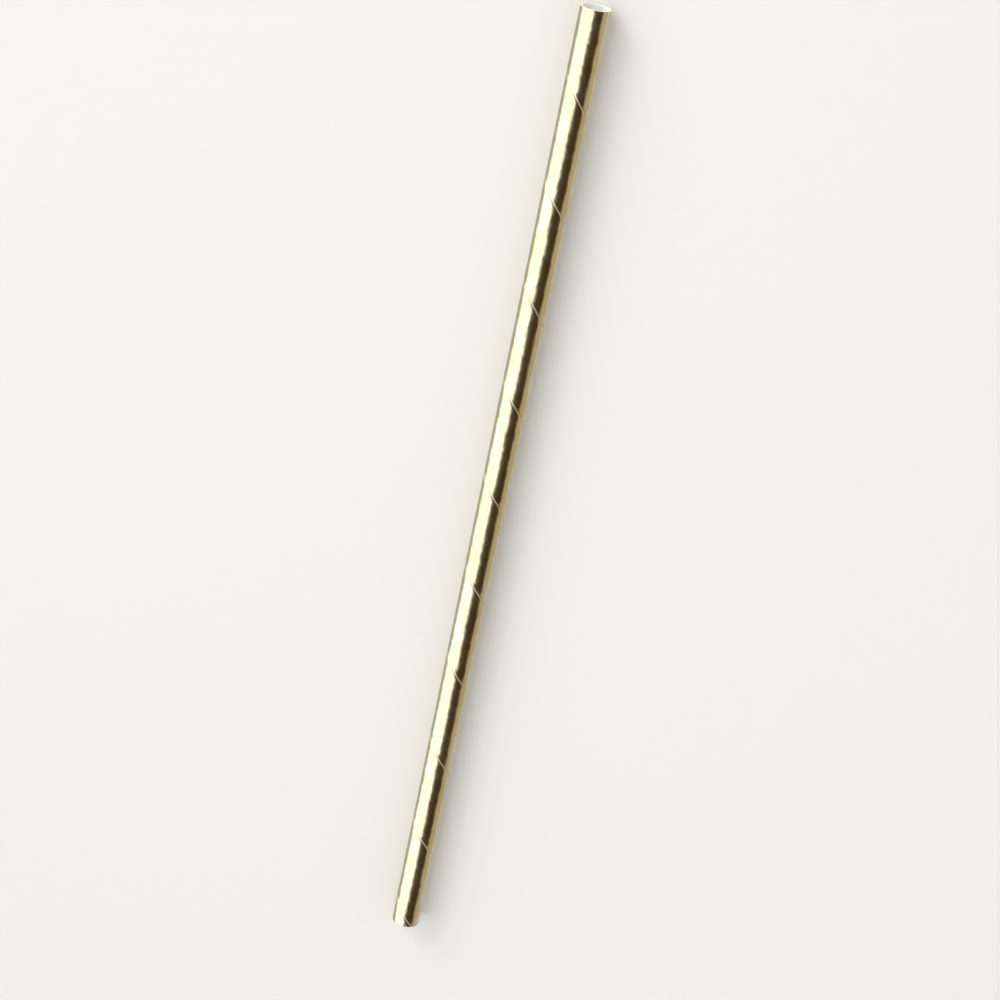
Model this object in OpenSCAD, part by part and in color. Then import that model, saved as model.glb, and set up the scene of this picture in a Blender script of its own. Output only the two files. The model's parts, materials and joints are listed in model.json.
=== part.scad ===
// Spiral-wrapped paper drinking straw with a pale gold foil face.
// Three narrow strips are wound round one another at the same pitch, glued face to face,
// with each strip's edges butting in a helical seam. The straw lies along X at rest on
// the surface z = 0, with its drinking end at +X and the origin under its middle.

/* [Straw] */
// Length between the two square-cut ends
straw_l = 210; // [60:1:280]
// Outside diameter across the foil, away from its raised edge
straw_d = 6; // [5:0.1:12]

/* [Plies] */
// Thickness of the paper strip that lines the bore
inner_ply_t = 0.15; // [0.1:0.01:0.4]
// Thickness of the paper strip between lining and foil
middle_ply_t = 0.15; // [0.1:0.01:0.4]
// Thickness of the foil-faced strip on the outside
foil_ply_t = 0.1; // [0.06:0.01:0.3]

/* [Winding] */
// Distance along the straw that every strip advances in one turn
wind_pitch = 21.2; // [15:0.1:45]
// Gap between the butting edges of the foil strip, square to the seam
foil_seam_w = 0.15; // [0.1:0.01:0.6]
// Gap between the butting edges of each paper strip, square to the seam
paper_seam_w = 0.2; // [0.1:0.01:0.6]
// Height by which one edge of the foil strip stands proud beside its seam
raised_edge_h = 0.06; // [0.04:0.01:0.15]
// Width round the straw over which that edge rises
raised_edge_w = 0.9; // [0.5:0.05:1.5]
// Angle round the straw where the foil seam leaves the lower end, from straight down
foil_seam_a = 212.4; // [0:0.1:360]
// Angle by which the middle strip's seam follows the foil seam
middle_stagger_a = 180; // [20:1:340]
// Angle by which the lining strip's seam follows the foil seam
inner_stagger_a = 75; // [20:1:340]

/* [Hidden] */
// Radii of the faces where the strips meet, from the outside in
foil_r = straw_d / 2;
middle_r = foil_r - foil_ply_t;
inner_r = middle_r - middle_ply_t;
// Flats that follow each seam round one turn
seam_steps = 24;
// Turn and advance of one such flat
seam_step_a = 360 / seam_steps;
seam_step_l = wind_pitch / seam_steps;
// Whole steps that carry an outline past each end of the straw
spare_steps = 2;
// Reach of a cutter past the wall that it cuts
cut_over = 0.2;
// Distance round the straw from the seam gap to the crest of the raised edge
crest_w = 0.12;
// Radius and place of that crest, measured round from the middle of the seam
crest_r = foil_r + raised_edge_h;
crest_a = angle_round(gap_round(foil_seam_w, foil_r) / 2 + crest_w);
// Place where the raised edge has sunk back into the face
toe_a = crest_a + angle_round(raised_edge_w);
// The straw rests on two neighbouring crests, so it is rolled until they are level
rest_roll_a = seam_step_a / 2 - (foil_seam_a + crest_a) % seam_step_a;
rest_h = crest_r * cos(seam_step_a / 2);

// Width of a seam gap measured round the straw, since the seam crosses it at a slant
function gap_round(seam_w, r) = seam_w * sqrt(pow(2 * PI * r, 2) + pow(wind_pitch, 2)) / wind_pitch;

// Angle that an arc on the foil face spans
function angle_round(arc) = arc / foil_r * 180 / PI;

// Point of an outline at an angle and a radius
function polar(r, a) = [r * cos(a), r * sin(a)];

// Lays a straw that stands on z = 0 down along X, resting on the surface
module laid_down() {
    translate([-straw_l / 2, 0, rest_h])
        rotate([0, 90, 0])
            rotate([0, 0, rest_roll_a])
                children();
}

// Plain tube between two radii with square-cut ends
module tube(outer_r, bore) {
    difference() {
        cylinder(h = straw_l, r = outer_r, $fn = 96);
        translate([0, 0, -cut_over])
            cylinder(h = straw_l + 2 * cut_over, r = bore, $fn = 96);
    }
}

// Winds a small outline left-handed along a seam, from end to end and a little past
module along_seam(start_a) {
    steps = ceil(straw_l / seam_step_l) + 2 * spare_steps;
    translate([0, 0, -spare_steps * seam_step_l])
        rotate([0, 0, start_a + spare_steps * seam_step_a])
            linear_extrude(height = steps * seam_step_l, twist = steps * seam_step_a, slices = steps)
                children();
}

// Cutter that parts one turn of a strip from the next
module seam_gap(outer_r, bore, seam_w, start_a) {
    gap = gap_round(seam_w, outer_r);
    along_seam(start_a)
        translate([bore - cut_over, -gap / 2])
            square([outer_r - bore + 2 * cut_over, gap]);
}

// Edge of the foil strip that stands proud beside the seam
module raised_edge() {
    root_r = foil_r - foil_ply_t / 2;
    intersection() {
        cylinder(h = straw_l, r = crest_r + cut_over, $fn = 96);
        along_seam(foil_seam_a)
            polygon([
                polar(root_r, 0),
                polar(foil_r + raised_edge_h / 2, 0),
                polar(crest_r, crest_a),
                polar(foil_r - raised_edge_h / 2, toe_a),
                polar(root_r, toe_a)
            ]);
    }
}

// One strip wound into a tube, open along its butt seam
module wound_strip(outer_r, thickness, seam_w, start_a) {
    difference() {
        union() {
            tube(outer_r, outer_r - thickness);
            children();
        }
        seam_gap(outer_r, outer_r - thickness, seam_w, start_a);
    }
}

// White paper strip that lines the bore
module inner_ply() {
    color([0.95, 0.94, 0.9])
        laid_down()
            wound_strip(inner_r, inner_ply_t, paper_seam_w, foil_seam_a + inner_stagger_a);
}

// White paper strip glued between lining and foil
module middle_ply() {
    color([0.93, 0.92, 0.88])
        laid_down()
            wound_strip(middle_r, middle_ply_t, paper_seam_w, foil_seam_a + middle_stagger_a);
}

// Paper strip with the pale gold foil face
module foil_ply() {
    color([0.84, 0.75, 0.5])
        laid_down()
            wound_strip(foil_r, foil_ply_t, foil_seam_w, foil_seam_a)
                raised_edge();
}

inner_ply();
middle_ply();
foil_ply();
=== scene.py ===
"""Looks of a spiral-wrapped paper drinking straw with a pale gold foil face.

The straw is three narrow strips wound left-handed round one another at one pitch. Each
strip is modelled as a real ribbon: its section is drawn point by point, swept along the
winding, cut square at both ends and given its thickness. The straw lies along X.
"""

import json
import logging
import math
from dataclasses import dataclass
from enum import Enum

import bpy
from mathutils import Matrix, Vector


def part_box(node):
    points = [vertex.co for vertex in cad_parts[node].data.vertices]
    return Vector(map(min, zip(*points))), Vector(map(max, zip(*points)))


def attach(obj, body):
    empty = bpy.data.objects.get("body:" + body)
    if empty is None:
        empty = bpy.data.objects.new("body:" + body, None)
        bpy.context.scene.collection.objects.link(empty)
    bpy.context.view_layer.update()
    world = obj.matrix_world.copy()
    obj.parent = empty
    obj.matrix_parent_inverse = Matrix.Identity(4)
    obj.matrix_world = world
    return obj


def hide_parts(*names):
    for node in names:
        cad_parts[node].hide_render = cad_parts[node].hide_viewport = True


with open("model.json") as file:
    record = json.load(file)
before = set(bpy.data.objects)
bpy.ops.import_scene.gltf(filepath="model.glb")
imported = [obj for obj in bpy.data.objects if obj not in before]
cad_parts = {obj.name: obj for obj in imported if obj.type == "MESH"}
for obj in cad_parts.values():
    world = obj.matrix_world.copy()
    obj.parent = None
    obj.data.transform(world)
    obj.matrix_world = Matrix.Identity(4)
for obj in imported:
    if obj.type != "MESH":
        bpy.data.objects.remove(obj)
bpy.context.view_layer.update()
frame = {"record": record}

LOG = logging.getLogger("straw")
MM = 0.001
FULL_TURN = 2.0 * math.pi


class Paper(Enum):
    """Which sheet a strip is cut from."""

    FOIL_FACED = "gold_foil"
    WHITE = "white_paper"


@dataclass(frozen=True)
class Winding:
    """The one path that all three strips follow.

    Attributes:
        pitch: Advance along the straw in one turn.
        low_end: Place of the lower cut end along X.
        high_end: Place of the drinking end along X.
        axis_height: Height of the straw's axis over the surface it lies on.
        foil_seam_angle: Angle from straight down, towards +Y, where the foil seam
            leaves the lower end.
    """

    pitch: float
    low_end: float
    high_end: float
    axis_height: float
    foil_seam_angle: float

    @property
    def length(self) -> float:
        """Length of the straw."""
        return self.high_end - self.low_end

    def advance(self, angle: float) -> float:
        """Advance along the straw for a turn of this angle."""
        return self.pitch * angle / FULL_TURN

    def slant(self, radius: float) -> float:
        """Length along the straw that goes with a unit of length square to a seam.

        Args:
            radius: Radius at which the seam is measured.

        Returns:
            The ratio of the two lengths.
        """
        girth = FULL_TURN * radius
        return math.hypot(girth, self.pitch) / girth


@dataclass(frozen=True)
class Crease:
    """A low ridge or groove that runs along a strip.

    Attributes:
        place: Distance of its middle from the strip's lower edge, along the straw.
        reach: Distance from its middle to where it has died away.
        height: Height over the strip's face, negative for a groove.
    """

    place: float
    reach: float
    height: float

    def covers(self, place: float, margin: float) -> bool:
        """Whether a place along the section lies on this crease or within a margin of it."""
        return abs(place - self.place) < self.reach + margin

    def lift(self, place: float) -> float:
        """Height that this crease adds at a place along the section.

        Args:
            place: Distance from the strip's lower edge, along the straw.

        Returns:
            The height, which falls off smoothly to nothing at the crease's reach.
        """
        if not self.covers(place, 0.0):
            return 0.0
        away = abs(place - self.place) / self.reach
        return self.height * 0.5 * (1.0 + math.cos(math.pi * away))


def deselect_all() -> None:
    """Leave object mode with nothing selected, so an operator acts on one piece."""
    if bpy.context.object and bpy.context.object.mode != "OBJECT":
        bpy.ops.object.mode_set(mode="OBJECT")
    bpy.ops.object.select_all(action="DESELECT")


def apply_modifier(piece: bpy.types.Object, kind: str, **settings: object) -> None:
    """Add a modifier to the active piece, set it and apply it.

    Args:
        piece: The active object.
        kind: The modifier's type name.
        **settings: Values for its properties.
    """
    bpy.ops.object.modifier_add(type=kind)
    modifier = piece.modifiers[-1]
    for name, value in settings.items():
        setattr(modifier, name, value)
    bpy.ops.object.modifier_apply(modifier=modifier.name)


@dataclass
class WoundStrip:
    """One strip of paper wound into a tube, its edges a narrow gap apart.

    Attributes:
        name: Name of the finished piece.
        node: CAD node that the piece stands for.
        paper: Sheet that the strip is cut from.
        winding: Path that the strip follows.
        radius: Radius of its outer face.
        thickness: Thickness of the paper.
        seam_gap: Gap between its edges, square to the seam.
        stagger: Angle by which its seam follows the foil seam.
        creases: Ridges and grooves that run along it.
        ripple: Depth of the slow ripples in its face.
        steps: Steps of the sweep in one turn.
        COARSE: Steps between the section's points where nothing is creased.
        EDGE_CLEARANCE: Share of a step that a point keeps off the strip's edges.
        LEAD_TURNS: Turns wound before the seam's place at the lower end.
        WELD: Distance within which two points are one.
        RIPPLE_SIZE: Size of one ripple.
        RIM_BEVEL: Width of the bevel round the strip's edges.
        RIM_BEVEL_STEPS: Facets across that bevel.
        RIM_ANGLE: Least angle of an edge that is bevelled.
        SMOOTH_ANGLE: Greatest angle of an edge that is shaded smooth.
    """

    name: str
    node: str
    paper: Paper
    winding: Winding
    radius: float
    thickness: float
    seam_gap: float
    stagger: float
    creases: tuple[Crease, ...] = ()
    ripple: float = 0.0
    steps: int = 96

    COARSE = 8
    EDGE_CLEARANCE = 0.4
    LEAD_TURNS = 2
    WELD = 0.0001 * MM
    RIPPLE_SIZE = 5.0 * MM
    RIM_BEVEL = 0.015 * MM
    RIM_BEVEL_STEPS = 2
    RIM_ANGLE = math.radians(50.0)
    SMOOTH_ANGLE = math.radians(40.0)

    def stations(self, start: float, width: float) -> list[float]:
        """Places across the strip where its section has a point.

        They keep half a step off the cut ends, so that no cut leaves a sliver.

        Args:
            start: Place of the strip's lower edge along X.
            width: Width of the strip along X.

        Returns:
            Distances from the lower edge, in rising order.
        """
        step = self.winding.pitch / self.steps
        clearance = step * self.EDGE_CLEARANCE
        first = math.ceil((start - self.winding.low_end) / step - 0.5)
        inside = []
        for n in range(self.steps):
            place = self.winding.low_end + (first + n + 0.5) * step - start
            creased = any(crease.covers(place, step) for crease in self.creases)
            plain = n % self.COARSE == self.COARSE // 2
            if clearance < place < width - clearance and (creased or plain):
                inside.append(place)
        return [0.0, *inside, width]

    def section(self) -> list[Vector]:
        """Points of the strip's outer face from its lower edge to its upper edge.

        Returns:
            The points in the plane straight below the axis, with the axis at zero height.
        """
        gap = self.seam_gap * self.winding.slant(self.radius)
        width = self.winding.pitch - gap
        seam = self.winding.low_end + self.winding.advance(self.winding.foil_seam_angle + self.stagger)
        start = seam - self.LEAD_TURNS * self.winding.pitch + gap / 2.0
        points = []
        for station in self.stations(start, width):
            lift = sum(crease.lift(station) for crease in self.creases)
            points.append(Vector((start + station, 0.0, -(self.radius + lift))))
        return points

    def draw_section(self) -> bpy.types.Object:
        """Draw the section as a chain of edges, extruded from point to point.

        Returns:
            The object that holds the chain, with its origin on the straw's axis.
        """
        points = self.section()
        deselect_all()
        on_axis = (0.0, 0.0, self.winding.axis_height)
        bpy.ops.mesh.primitive_plane_add(size=self.radius, location=on_axis)
        piece = bpy.context.object
        piece.name = piece.data.name = self.name
        bpy.ops.object.mode_set(mode="EDIT")
        bpy.ops.mesh.select_all(action="SELECT")
        bpy.ops.mesh.merge(type="CENTER")
        bpy.ops.transform.translate(value=points[0])
        for here, there in zip(points, points[1:]):
            bpy.ops.mesh.extrude_region_move(TRANSFORM_OT_translate={"value": there - here})
        bpy.ops.object.mode_set(mode="OBJECT")
        return piece

    def sweep(self, piece: bpy.types.Object) -> None:
        """Sweep the section along the winding, from past one end to past the other.

        Args:
            piece: The section's chain of edges, which becomes the ribbon.
        """
        turns = math.ceil(self.winding.length / self.winding.pitch) + self.LEAD_TURNS + 1
        apply_modifier(
            piece, "SCREW", axis="X", angle=-FULL_TURN, screw_offset=self.winding.pitch,
            iterations=turns, steps=self.steps, render_steps=self.steps,
            use_smooth_shade=True, use_merge_vertices=False,
        )

    def cut_square(self) -> None:
        """Cut the active piece off square at both ends and weld its turns together."""
        bpy.ops.object.mode_set(mode="EDIT")
        for end, outward in ((self.winding.low_end, -1.0), (self.winding.high_end, 1.0)):
            bpy.ops.mesh.select_all(action="SELECT")
            bpy.ops.mesh.bisect(
                plane_co=(end, 0.0, self.winding.axis_height), plane_no=(outward, 0.0, 0.0),
                clear_outer=True, use_fill=False, threshold=self.WELD,
            )
        bpy.ops.mesh.select_all(action="SELECT")
        bpy.ops.mesh.remove_doubles(threshold=self.WELD)
        bpy.ops.object.mode_set(mode="OBJECT")

    @staticmethod
    def face_outwards(piece: bpy.types.Object) -> None:
        """Flip the ribbon if its faces point at the axis.

        Args:
            piece: The ribbon, which is the active object.
        """
        polygon = piece.data.polygons[len(piece.data.polygons) // 2]
        spoke = Vector((0.0, polygon.center.y, polygon.center.z))
        if polygon.normal.dot(spoke) < 0.0:
            bpy.ops.object.mode_set(mode="EDIT")
            bpy.ops.mesh.select_all(action="SELECT")
            bpy.ops.mesh.flip_normals()
            bpy.ops.object.mode_set(mode="OBJECT")

    def press_ripples(self, piece: bpy.types.Object) -> None:
        """Press slow ripples into the face, always inwards.

        Args:
            piece: The ribbon, which is the active object.
        """
        cloud = bpy.data.textures.new(f"{self.name}_ripple", "CLOUDS")
        cloud.noise_scale = self.RIPPLE_SIZE
        cloud.noise_depth = 1
        apply_modifier(
            piece, "DISPLACE", texture=cloud, texture_coords="LOCAL", direction="NORMAL",
            mid_level=1.0, strength=self.ripple,
        )

    def thicken(self, piece: bpy.types.Object) -> None:
        """Give the ribbon its thickness inwards, with the bare paper behind the face.

        Args:
            piece: The ribbon, which is the active object.
        """
        apply_modifier(
            piece, "SOLIDIFY", thickness=self.thickness, offset=-1.0, use_rim=True,
            material_offset=1, material_offset_rim=1, use_even_offset=False,
        )
        apply_modifier(
            piece, "BEVEL", width=self.RIM_BEVEL, segments=self.RIM_BEVEL_STEPS, limit_method="ANGLE",
            angle_limit=self.RIM_ANGLE, use_clamp_overlap=True,
        )
        bpy.ops.object.shade_smooth_by_angle(angle=self.SMOOTH_ANGLE)

    def build(self, face: bpy.types.Material, bare: bpy.types.Material) -> bpy.types.Object:
        """Model the strip and dress it.

        Args:
            face: Material of the outer face.
            bare: Material of the paper behind it and at its cut edges.

        Returns:
            The finished piece, riding in place of its CAD node.
        """
        piece = self.draw_section()
        piece.data.materials.append(face)
        piece.data.materials.append(bare)
        self.sweep(piece)
        self.cut_square()
        self.face_outwards(piece)
        if self.ripple:
            self.press_ripples(piece)
        self.thicken(piece)
        bpy.ops.object.transform_apply(location=True, rotation=True, scale=True)
        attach(piece, "root")
        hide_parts(self.node)
        LOG.info("%s: %d faces", piece.name, len(piece.data.polygons))
        return piece


class NodeSheet:
    """Small helper that places and links shader nodes in one tree."""

    def __init__(self, tree: bpy.types.NodeTree) -> None:
        """Start on a tree, emptied of what it held."""
        self.tree = tree
        tree.nodes.clear()

    def add(
        self, kind: str, inputs: dict[str | int, object] | None = None, **settings: object
    ) -> bpy.types.Node:
        """Add a node.

        Args:
            kind: The node's type name.
            inputs: Values or sockets for its inputs, by name or number.
            **settings: Values for its properties.

        Returns:
            The new node.
        """
        node = self.tree.nodes.new(kind)
        for name, value in settings.items():
            setattr(node, name, value)
        for key, value in (inputs or {}).items():
            if isinstance(value, bpy.types.NodeSocket):
                self.tree.links.new(value, node.inputs[key])
            else:
                node.inputs[key].default_value = value
        return node

    def math(self, operation: str, *values: object) -> bpy.types.NodeSocket:
        """Add a Math node and return its result."""
        return self.add("ShaderNodeMath", dict(enumerate(values)), operation=operation).outputs[0]

    def ramp(self, value: bpy.types.NodeSocket, low: float, high: float) -> bpy.types.NodeSocket:
        """Rise smoothly from 0 to 1.

        Args:
            value: Value that the rise follows.
            low: Value at which the result is 0.
            high: Value at which the result is 1.

        Returns:
            The socket of the result.
        """
        node = self.add(
            "ShaderNodeMapRange", {"Value": value, "From Min": low, "From Max": high},
            interpolation_type="SMOOTHSTEP",
        )
        return node.outputs["Result"]

    def mix(self, factor: object, first: object, second: object) -> bpy.types.NodeSocket:
        """Mix two colours."""
        node = self.add("ShaderNodeMix", {0: factor, 6: first, 7: second}, data_type="RGBA")
        return node.outputs[2]


def new_group(name: str, inputs: dict[str, float], outputs: tuple[str, ...]) -> bpy.types.NodeTree:
    """Make an empty shader node group with float sockets.

    Args:
        name: Name of the group.
        inputs: Names of the inputs with their usual values.
        outputs: Names of the outputs.

    Returns:
        The group.
    """
    group = bpy.data.node_groups.new(name, "ShaderNodeTree")
    for label, value in inputs.items():
        socket = group.interface.new_socket(name=label, in_out="INPUT", socket_type="NodeSocketFloat")
        socket.default_value = value
    for label in outputs:
        group.interface.new_socket(name=label, in_out="OUTPUT", socket_type="NodeSocketFloat")
    return group


@dataclass(frozen=True)
class WindingPattern:
    """Shader group that tells how far a point lies from the strip's seam.

    Its input Stagger is the distance along the straw by which that seam follows the
    foil seam.

    Attributes:
        winding: Path that the strips follow.
    """

    winding: Winding

    def build(self) -> bpy.types.NodeTree:
        """Make the group.

        Returns:
            A group whose output is the distance to the nearest seam, along the straw.
        """
        group = new_group("wound_strip_place", {"Stagger": 0.0}, ("From Seam",))
        sheet = NodeSheet(group)
        start = sheet.add("NodeGroupInput")
        place = sheet.add("ShaderNodeTexCoord").outputs["Object"]
        split = sheet.add("ShaderNodeSeparateXYZ", {0: place})
        height = sheet.math("SUBTRACT", self.winding.axis_height, split.outputs["Z"])
        angle = sheet.math("ARCTAN2", split.outputs["Y"], height)
        seam_at_zero = self.winding.low_end + self.winding.advance(self.winding.foil_seam_angle)
        turned = sheet.math("MULTIPLY_ADD", angle, self.winding.pitch / FULL_TURN, split.outputs["X"])
        above = sheet.math("SUBTRACT", turned, seam_at_zero)
        above = sheet.math("SUBTRACT", above, start.outputs["Stagger"])
        above = sheet.math("FLOORED_MODULO", above, self.winding.pitch)
        back = sheet.math("SUBTRACT", self.winding.pitch, above)
        near = sheet.math("MINIMUM", above, back)
        sheet.add("NodeGroupOutput", {"From Seam": near})
        return group


@dataclass(frozen=True)
class PaperGrain:
    """Shader group for the grain of pressed paper.

    Attributes:
        drawn_out: Fibres along the straw, as a share of those across it.
        detail: Layers of finer fibres in the height.
        unevenness: Strength of each finer layer, as a share of the one before.
        mottle_share: Patches of mottle for each fibre.
        mottle_detail: Layers of finer patches in the mottle.
    """

    drawn_out: float = 0.35
    detail: float = 3.0
    unevenness: float = 0.6
    mottle_share: float = 0.12
    mottle_detail: float = 2.0

    def build(self) -> bpy.types.NodeTree:
        """Make the group.

        Returns:
            A group with the number of fibres as its input, and a fine height and a
            slow mottle as its outputs.
        """
        group = new_group("paper_grain", {"Fibres per Metre": 3000.0}, ("Height", "Mottle"))
        sheet = NodeSheet(group)
        start = sheet.add("NodeGroupInput")
        place = sheet.add("ShaderNodeTexCoord").outputs["Object"]
        lengthwise = sheet.add(
            "ShaderNodeMapping", {"Vector": place, "Scale": (self.drawn_out, 1.0, 1.0)}
        ).outputs[0]
        fibres = sheet.add(
            "ShaderNodeTexNoise",
            {
                "Vector": lengthwise, "Scale": start.outputs[0], "Detail": self.detail,
                "Roughness": self.unevenness,
            },
        )
        slow = sheet.math("MULTIPLY", start.outputs[0], self.mottle_share)
        mottle = sheet.add(
            "ShaderNodeTexNoise", {"Vector": place, "Scale": slow, "Detail": self.mottle_detail}
        )
        sheet.add("NodeGroupOutput", {"Height": fibres.outputs[0], "Mottle": mottle.outputs[0]})
        return group


@dataclass(frozen=True)
class BarePaper:
    """Bare paper, matt, with fine fibres.

    Attributes:
        name: Name of the finish.
        colour: Colour of the paper.
        shade: Colour in the hollows between its fibres.
        fibres: Fibres per metre.
        relief: Height of the fibres.
        relief_strength: Share of that height that shows.
        hollow_height: Grain height of the hollows between the fibres.
        fibre_height: Grain height of the fibres themselves.
        roughness: Roughness of the paper.
    """

    name: str = "white_paper"
    colour: tuple[float, float, float, float] = (0.95, 0.94, 0.90, 1.0)
    shade: tuple[float, float, float, float] = (0.86, 0.85, 0.80, 1.0)
    fibres: float = 5200.0
    relief: float = 0.012 * MM
    relief_strength: float = 0.8
    hollow_height: float = 0.35
    fibre_height: float = 0.62
    roughness: float = 0.88

    def build(self, grain: bpy.types.NodeTree) -> bpy.types.Material:
        """Make the material.

        Args:
            grain: Shader group for the paper's grain.

        Returns:
            The material.
        """
        material = bpy.data.materials.new(self.name)
        material.use_nodes = True
        sheet = NodeSheet(material.node_tree)
        fibre = sheet.add("ShaderNodeGroup", node_tree=grain)
        fibre.inputs["Fibres per Metre"].default_value = self.fibres
        height = fibre.outputs["Height"]
        depth = sheet.ramp(height, self.hollow_height, self.fibre_height)
        colour = sheet.mix(depth, self.shade, self.colour)
        bump = sheet.add(
            "ShaderNodeBump", {"Strength": self.relief_strength, "Distance": self.relief, "Height": height}
        )
        surface = sheet.add(
            "ShaderNodeBsdfPrincipled",
            {"Base Color": colour, "Roughness": self.roughness, "Normal": bump.outputs[0]},
        )
        sheet.add("ShaderNodeOutputMaterial", {"Surface": surface.outputs[0]})
        return material


@dataclass(frozen=True)
class GoldFoil:
    """Thin pale gold metallic foil on paper, soft-mirror, with the paper's tooth under it.

    Attributes:
        colour: Colour of the foil.
        deep: Colour where the foil lies a little deeper.
        worn: Colour of the rubbed foil at the strip's edges.
        deep_mottle: Mottle at which the foil has its deep colour.
        face_mottle: Mottle at which it has its plain colour.
        roughness: Roughness of the clean foil.
        uneven: Range over which the roughness changes from place to place.
        tooth: Bumps per metre that the paper gives the foil.
        relief: Height of those bumps.
        relief_strength: Share of that height that shows.
        dent: Depth of the slow dents in the foil.
        edge_wear: Width of the rubbed line at each edge.
        full_wear: Share of that width that is rubbed most.
        wear_strength: Share of the rubbed colour in that line.
        wear_roughness: Roughness that the rubbing adds.
    """

    colour: tuple[float, float, float, float] = (0.87, 0.745, 0.475, 1.0)
    deep: tuple[float, float, float, float] = (0.82, 0.68, 0.39, 1.0)
    worn: tuple[float, float, float, float] = (0.89, 0.82, 0.64, 1.0)
    deep_mottle: float = 0.35
    face_mottle: float = 0.65
    roughness: float = 0.25
    uneven: float = 0.08
    tooth: float = 2400.0
    relief: float = 0.006 * MM
    relief_strength: float = 0.6
    dent: float = 0.22 * MM
    edge_wear: float = 0.35 * MM
    full_wear: float = 0.4
    wear_strength: float = 0.7
    wear_roughness: float = 0.15

    def build(self, grain: bpy.types.NodeTree, pattern: bpy.types.NodeTree) -> bpy.types.Material:
        """Make the material.

        Args:
            grain: Shader group for the grain of the paper under the foil.
            pattern: Shader group for the place across the strip.

        Returns:
            The material.
        """
        material = bpy.data.materials.new("gold_foil")
        material.use_nodes = True
        sheet = NodeSheet(material.node_tree)
        fibre = sheet.add("ShaderNodeGroup", node_tree=grain)
        fibre.inputs["Fibres per Metre"].default_value = self.tooth
        mottle = fibre.outputs["Mottle"]
        strip = sheet.add("ShaderNodeGroup", node_tree=pattern)
        edge = sheet.ramp(strip.outputs["From Seam"], self.edge_wear, self.edge_wear * self.full_wear)
        depth = sheet.ramp(mottle, self.deep_mottle, self.face_mottle)
        tone = sheet.mix(depth, self.deep, self.colour)
        colour = sheet.mix(sheet.math("MULTIPLY", edge, self.wear_strength), tone, self.worn)
        clean = sheet.math("MULTIPLY_ADD", mottle, self.uneven, self.roughness - self.uneven / 2.0)
        rough = sheet.math("MULTIPLY_ADD", edge, self.wear_roughness, clean)
        dents = sheet.add("ShaderNodeBump", {"Strength": 1.0, "Distance": self.dent, "Height": mottle})
        bump = sheet.add(
            "ShaderNodeBump",
            {
                "Strength": self.relief_strength, "Distance": self.relief,
                "Height": fibre.outputs["Height"], "Normal": dents.outputs[0],
            },
        )
        surface = sheet.add(
            "ShaderNodeBsdfPrincipled",
            {"Base Color": colour, "Roughness": rough, "Metallic": 1.0, "Normal": bump.outputs[0]},
        )
        sheet.add("ShaderNodeOutputMaterial", {"Surface": surface.outputs[0]})
        return material


@dataclass(frozen=True)
class PhotoView:
    """The photograph's view of the straw, as its two ends stand in the picture.

    Attributes:
        image_size: Width and height of the picture in pixels.
        focal_length: Focal length in pixels.
        high_end: Pixel of the middle of the drinking end.
        low_end: Pixel of the middle of the lower end.
        depth_ratio: How much deeper the lower end lies than the drinking end.
        sensor: Width of the camera's sensor in millimetres.
    """

    image_size: float = 1000.0
    focal_length: float = 2292.0
    high_end: tuple[float, float] = (596.1, 7.2)
    low_end: tuple[float, float] = (405.8, 919.0)
    depth_ratio: float = 1.2076
    sensor: float = 36.0

    def ray(self, pixel: tuple[float, float]) -> Vector:
        """Direction through a pixel, in the camera's frame, one unit deep."""
        middle, focal = self.image_size / 2.0, self.focal_length
        return Vector(((pixel[0] - middle) / focal, (middle - pixel[1]) / focal, -1.0))

    def build(self, winding: Winding) -> bpy.types.Object:
        """Add the camera so that both ends of the straw fall on their pixels.

        Args:
            winding: Path of the strips, which gives the straw's ends.

        Returns:
            The camera.
        """
        high = self.ray(self.high_end)
        low = self.ray(self.low_end) * self.depth_ratio
        scale = winding.length / (high - low).length
        high, low = high * scale, low * scale
        along = (high - low).normalized()
        up = -(high - along * high.dot(along)).normalized()
        to_world = Matrix((along, up.cross(along), up))
        end = Vector((winding.high_end, 0.0, winding.axis_height))
        deselect_all()
        bpy.ops.object.camera_add()
        camera = bpy.context.object
        camera.name = "photo_camera"
        camera.data.sensor_fit = "HORIZONTAL"
        camera.data.sensor_width = self.sensor
        camera.data.lens = self.sensor * self.focal_length / self.image_size
        camera.matrix_world = Matrix.Translation(end - to_world @ high) @ to_world.to_4x4()
        bpy.context.scene.camera = camera
        LOG.info("camera at %s", tuple(round(c, 4) for c in camera.matrix_world.translation))
        return camera


def matt_material(name: str, colour: tuple[float, float, float, float]) -> bpy.types.Material:
    """Make a plain matt material for the stage.

    Args:
        name: Name of the material.
        colour: Its colour.

    Returns:
        The material.
    """
    material = bpy.data.materials.new(name)
    material.use_nodes = True
    surface = material.node_tree.nodes["Principled BSDF"]
    surface.inputs["Base Color"].default_value = colour
    surface.inputs["Roughness"].default_value = 0.9
    surface.inputs["Specular IOR Level"].default_value = 0.0
    return material


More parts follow.
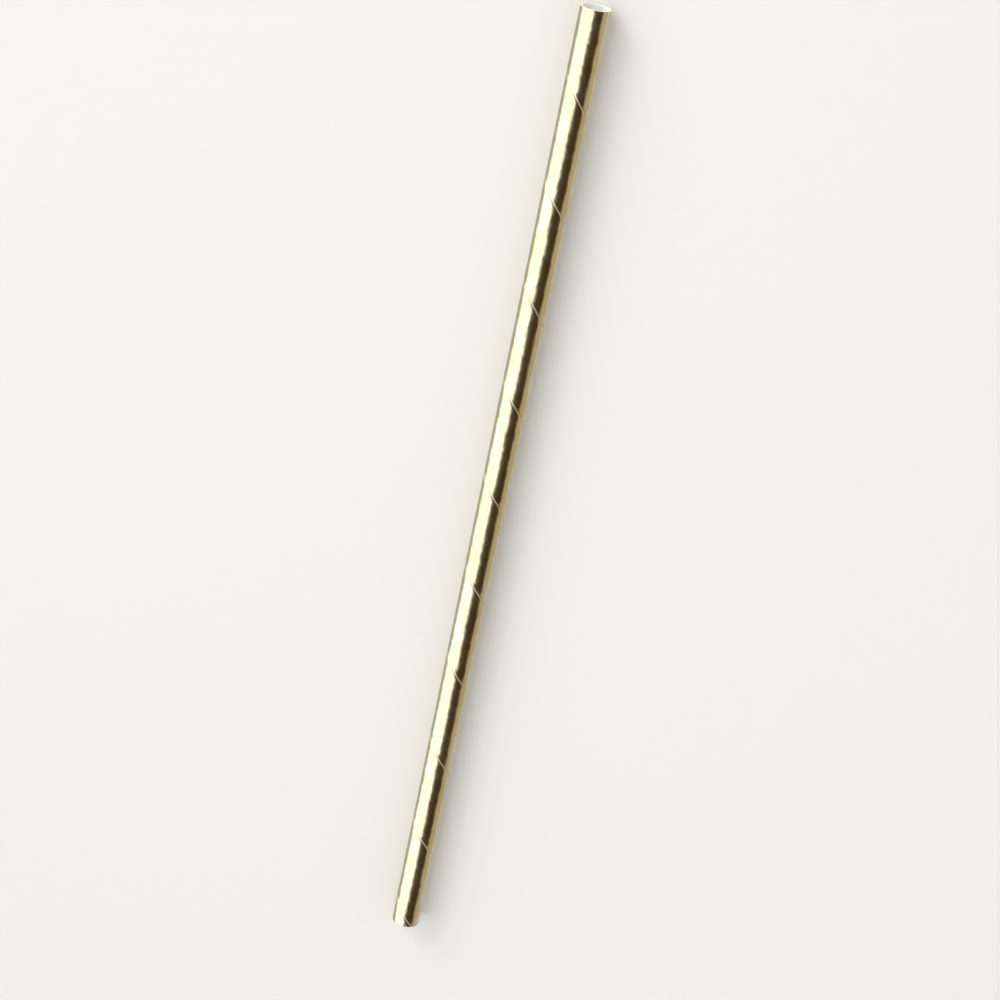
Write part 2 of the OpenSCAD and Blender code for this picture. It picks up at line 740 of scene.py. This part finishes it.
@dataclass(frozen=True)
class Card:
    """A studio card that shows only where gloss mirrors it, as the foil's does.

    Attributes:
        name: Name of the card.
        colour: Colour of the card.
        place: Middle of the card.
        size: Length along X and width across it.
        lean: Angle by which it is turned about X.
        glow: Radiance of a card that shines by itself.
    """

    name: str
    colour: tuple[float, float, float, float]
    place: tuple[float, float, float]
    size: tuple[float, float]
    lean: float = 0.0
    glow: float = 0.0

    def build(self) -> None:
        """Add the card to the stage."""
        deselect_all()
        bpy.ops.mesh.primitive_plane_add(size=1.0, location=self.place, rotation=(self.lean, 0.0, 0.0))
        card = bpy.context.object
        card.name = self.name
        card.scale = (*self.size, 1.0)
        material = matt_material(self.name, self.colour)
        surface = material.node_tree.nodes["Principled BSDF"]
        surface.inputs["Emission Color"].default_value = self.colour
        surface.inputs["Emission Strength"].default_value = self.glow
        card.data.materials.append(material)
        card.visible_camera = False
        card.visible_diffuse = False
        card.visible_shadow = False


@dataclass(frozen=True)
class SoftBox:
    """A rectangular soft light aimed at the straw, which the foil's gloss doesn't see.

    Attributes:
        name: Name of the light.
        toward: Direction of the light from the straw.
        distance: Distance of the light.
        size: Length and width.
        level: Radiance at the full spread, where 1 is plain white. A narrower beam of
            the same level is brighter along its middle.
        target: Place that it is aimed at.
        spread: Angle of its beam.
    """

    name: str
    toward: tuple[float, float, float]
    distance: float
    size: tuple[float, float]
    level: float
    target: tuple[float, float, float] = (0.0, 0.0, 0.0)
    spread: float = math.pi

    def build(self) -> None:
        """Hang the light."""
        deselect_all()
        direction = Vector(self.toward).normalized()
        bpy.ops.object.light_add(type="AREA", location=Vector(self.target) + direction * self.distance)
        light = bpy.context.object
        light.name = self.name
        light.rotation_mode = "QUATERNION"
        light.rotation_quaternion = direction.to_track_quat("Z", "X")
        light.data.shape = "RECTANGLE"
        light.data.size, light.data.size_y = self.size
        light.data.energy = self.level * math.pi * self.size[0] * self.size[1]
        light.data.spread = self.spread
        light.visible_glossy = False


@dataclass(frozen=True)
class Studio:
    """Plain pale floor, soft light and the cards that the foil mirrors.

    Attributes:
        floor_colour: Colour of the floor.
        floor_size: Width of the floor.
        air: Colour and level of the light from all round.
        flag_angle: Angle from straight up to the middle of the upper dark flag, away
            from the soft box.
        flag_reach: Angle from a flag's middle to its edges.
        card_distance: Distance of the cards that hang over the straw.
        card_length: Length of those cards along the straw.
        card_shift: Place of their middle along X, past the lower end.
        pale: Colour of the cool white cards.
    """

    floor_colour: tuple[float, float, float, float] = (0.82, 0.81, 0.785, 1.0)
    floor_size: float = 6.0
    air: tuple[float, float, float] = (0.60, 0.59, 0.57)
    flag_angle: float = math.radians(12.6)
    flag_reach: float = math.radians(17.6)
    card_distance: float = 1.0
    card_length: float = 2.0
    card_shift: float = -0.5
    pale: tuple[float, float, float, float] = (0.81, 0.89, 1.0, 1.0)

    def add_floor(self) -> None:
        """Lay the floor at the height where the straw rests."""
        deselect_all()
        bpy.ops.mesh.primitive_plane_add(size=self.floor_size)
        floor = bpy.context.object
        floor.name = "floor"
        floor.data.materials.append(matt_material("floor", self.floor_colour))

    def add_air(self) -> None:
        """Light the scene evenly from all round."""
        world = bpy.data.worlds.new("air")
        world.use_nodes = True
        world.node_tree.nodes["Background"].inputs["Color"].default_value = (*self.air, 1.0)
        bpy.context.scene.world = world

    def hung_card(
        self, name: str, colour: tuple[float, float, float, float], angle: float, reach: float,
        glow: float = 0.0,
    ) -> Card:
        """Make a card that hangs over the straw and faces it.

        Args:
            name: Name of the card.
            colour: Colour of the card.
            angle: Angle from straight up to its middle, positive away from the soft box.
            reach: Angle from its middle to its edges.
            glow: Radiance of a card that shines by itself.

        Returns:
            The card.
        """
        across = 2.0 * self.card_distance * math.tan(reach)
        sideways, upwards = -self.card_distance * math.sin(angle), self.card_distance * math.cos(angle)
        place = (self.card_shift, sideways, upwards)
        return Card(name, colour, place, (self.card_length, across), angle, glow)

    def cards(self) -> tuple[Card, ...]:
        """Cards that the foil mirrors as its bright, dark and tan bands.

        Returns:
            The cards that hang over the straw, then those that lie low beside it.
        """
        lower_angle = self.flag_angle + 2.0 * self.flag_reach
        return (
            self.hung_card("high_card", self.pale, math.radians(-47.2), math.radians(35.3), glow=1.2),
            self.hung_card("edge_card", self.pale, math.radians(-8.45), math.radians(3.45)),
            self.hung_card("olive_flag", (0.067, 0.052, 0.025, 1.0), self.flag_angle, self.flag_reach),
            self.hung_card("brown_flag", (0.058, 0.026, 0.005, 1.0), lower_angle, self.flag_reach),
            Card("near_card", (0.37, 0.41, 0.50, 1.0), place=(-0.05, 0.0095, 0.0006), size=(0.5, 0.012)),
            Card(
                "low_card", self.pale, place=(-0.2, 0.523, 0.069), size=(1.4, 1.024),
                lean=math.radians(7.7), glow=0.7,
            ),
            Card(
                "side_card", (0.26, 0.27, 0.275, 1.0), place=(-0.05, -0.006, 0.0008), size=(0.5, 0.006),
                glow=1.2,
            ),
            Card(
                "far_card", (0.39, 0.365, 0.32, 1.0), place=(-0.2, -0.505, 0.181), size=(1.4, 1.054),
                lean=math.radians(-19.9),
            ),
        )

    def lights(self) -> tuple[SoftBox, ...]:
        """Lights round the straw.

        Returns:
            A large soft box beside the straw, a beam on its mouth and a weak fill opposite.
        """
        return (
            SoftBox("soft_box", toward=(0.0, 1.0, 1.2), distance=1.4, size=(1.6, 1.6), level=1.1),
            SoftBox(
                "mouth_light", toward=(0.8, 0.8, 0.5), distance=1.3, size=(0.7, 0.7), level=0.58,
                target=(0.1, 0.0, 0.0), spread=math.radians(45.0),
            ),
            SoftBox("fill_light", toward=(0.0, -1.0, 0.9), distance=1.5, size=(1.6, 1.6), level=0.5),
        )

    def build(self) -> None:
        """Set up the whole stage."""
        self.add_floor()
        self.add_air()
        for item in (*self.cards(), *self.lights()):
            item.build()
        bpy.context.scene.view_settings.view_transform = "Standard"
        LOG.info("stage ready")


@dataclass(frozen=True)
class DrinkingStraw:
    """The whole straw: lining, middle strip and foil strip on one winding.

    Attributes:
        pitch: Advance of the winding in one turn.
        foil_seam_angle: Angle from straight down where the foil seam leaves the lower end.
        middle_stagger: Angle by which the middle strip's seam follows the foil seam.
        inner_stagger: Angle by which the lining's seam follows the foil seam.
        paper_gap: Gap between the edges of each paper strip.
        foil_gap: Gap between the edges of the foil strip.
        ridge_place: Distance of the raised edge's crest from the foil's lower edge.
        ridge_reach: Distance over which the raised edge sinks back into the face.
        ridge_clearance: Height by which the crest stays off the surface it lies on.
        groove_reach: Distance over which a groove over a hidden seam dies away.
        middle_groove: Depth of the groove over the middle strip's seam.
        inner_groove: Depth of the groove over the lining's seam.
        foil_ripple: Depth of the slow ripples in the foil strip.
    """

    pitch: float = 21.2 * MM
    foil_seam_angle: float = math.radians(213.29)
    middle_stagger: float = math.radians(180.0)
    inner_stagger: float = math.radians(75.0)
    paper_gap: float = 0.20 * MM
    foil_gap: float = 0.15 * MM
    ridge_place: float = 0.20 * MM
    ridge_reach: float = 0.75 * MM
    ridge_clearance: float = 0.002 * MM
    groove_reach: float = 0.60 * MM
    middle_groove: float = 0.014 * MM
    inner_groove: float = 0.006 * MM
    foil_ripple: float = 0.012 * MM

    @staticmethod
    def mount(name: str) -> dict:
        """Mount of the CAD part with this name."""
        return next(mount for mount in frame["record"]["mounts"] if mount["name"] == name)

    @staticmethod
    def node_radius(node: str) -> float:
        """Outer radius of a round CAD node."""
        low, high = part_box(node)
        return (high[1] - low[1]) / 2.0

    @property
    def axis_height(self) -> float:
        """Height of the straw's axis over the surface it lies on."""
        return self.mount("bore")["pos_m"][2]

    @property
    def bore_radius(self) -> float:
        """Radius of the open bore."""
        return self.mount("bore")["dims"]["r_mm"] * MM

    @property
    def foil_radius(self) -> float:
        """Radius of the foil's face, away from its raised edge."""
        return self.mount("outside")["dims"]["r_mm"] * MM

    @property
    def winding(self) -> Winding:
        """Path that all three strips follow, from one cut end to the other."""
        low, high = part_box("foil_ply")
        return Winding(self.pitch, low[0], high[0], self.axis_height, self.foil_seam_angle)

    def foil_creases(self) -> tuple[Crease, ...]:
        """Ridge at the seam and grooves over the seams of the strips below.

        Returns:
            The raised edge, the groove over the middle strip's seam and the lining's.
        """
        winding = self.winding
        crest_radius = self.axis_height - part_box("foil_ply")[0][2]
        rise = crest_radius - self.foil_radius - self.ridge_clearance
        return (
            Crease(self.ridge_place, self.ridge_reach, rise),
            Crease(winding.advance(self.middle_stagger), self.groove_reach, -self.middle_groove),
            Crease(winding.advance(self.inner_stagger), self.groove_reach, -self.inner_groove),
        )

    def strips(self) -> tuple[WoundStrip, WoundStrip, WoundStrip]:
        """Plan the three strips.

        Returns:
            The lining, the middle strip and the foil strip.
        """
        winding = self.winding
        middle_radius, inner_radius = self.node_radius("middle_ply"), self.node_radius("inner_ply")
        lining = WoundStrip(
            "lining_strip", "inner_ply", Paper.WHITE, winding, radius=inner_radius,
            thickness=inner_radius - self.bore_radius, seam_gap=self.paper_gap,
            stagger=self.inner_stagger,
        )
        middle = WoundStrip(
            "middle_strip", "middle_ply", Paper.WHITE, winding, radius=middle_radius,
            thickness=middle_radius - inner_radius, seam_gap=self.paper_gap,
            stagger=self.middle_stagger,
        )
        foil = WoundStrip(
            "foil_strip", "foil_ply", Paper.FOIL_FACED, winding, radius=self.foil_radius,
            thickness=self.foil_radius - middle_radius, seam_gap=self.foil_gap, stagger=0.0,
            creases=self.foil_creases(), ripple=self.foil_ripple,
        )
        return lining, middle, foil

    def build(self) -> list[bpy.types.Object]:
        """Model and dress the three strips from the inside out.

        Returns:
            The finished pieces.
        """
        grain = PaperGrain().build()
        pattern = WindingPattern(self.winding).build()
        paper = BarePaper().build(grain)
        # The middle strip's face shows only in the foil seam's narrow gap; its dark tan is partly glue
        # stain and partly painted shade of that gap's depth.
        glue_and_shade_paper = BarePaper(
            "glued_shaded_paper", colour=(0.50, 0.41, 0.28, 1.0), shade=(0.40, 0.32, 0.20, 1.0)
        ).build(grain)
        gold = GoldFoil().build(grain, pattern)
        lining, middle, foil = self.strips()
        return [lining.build(paper, paper), middle.build(glue_and_shade_paper, paper), foil.build(gold, paper)]


def main() -> None:
    """Build the view, the stage and the straw, and log how many pieces there are."""
    logging.basicConfig(level=logging.INFO, format="%(name)s: %(message)s")
    straw = DrinkingStraw()
    PhotoView().build(straw.winding)
    Studio().build()
    pieces = straw.build()
    LOG.info("%d pieces", len(pieces))


if __name__ == "__main__":
    main()
